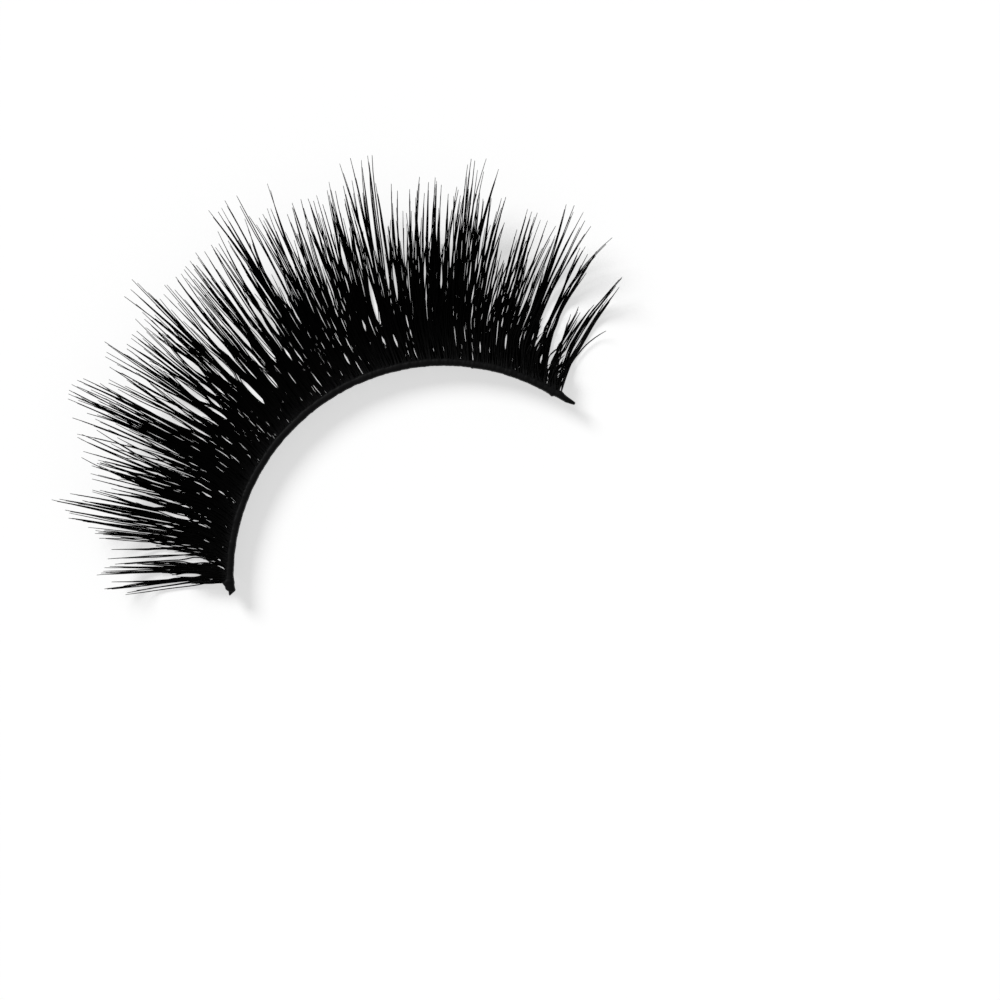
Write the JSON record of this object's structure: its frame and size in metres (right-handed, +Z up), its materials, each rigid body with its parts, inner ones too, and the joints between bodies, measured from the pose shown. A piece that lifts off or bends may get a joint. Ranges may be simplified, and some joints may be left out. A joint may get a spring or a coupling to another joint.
{
  "type": "false eyelash strip",
  "caption": "Strip of black false eyelashes: a thin curved band with a long and a short layer of curled-up lashes fanning out from its outer edge.",
  "frame": {"origin": "centre of the strip's box, on the surface it rests on", "axes": "+X along the band towards its outer corner, -Y towards the lash tips, +Z up, the way the lashes curl"},
  "size_m": [0.0424, 0.0238, 0.0054],
  "materials": {
    "lash_band": "cotton thread set in matt black glue",
    "lash_hair": "satin black synthetic fibre"
  },
  "bodies": {
    "root": {"lash_band": "lash_band", "long_lashes": "lash_hair", "short_lashes": "lash_hair"}
  },
  "joints": []
}
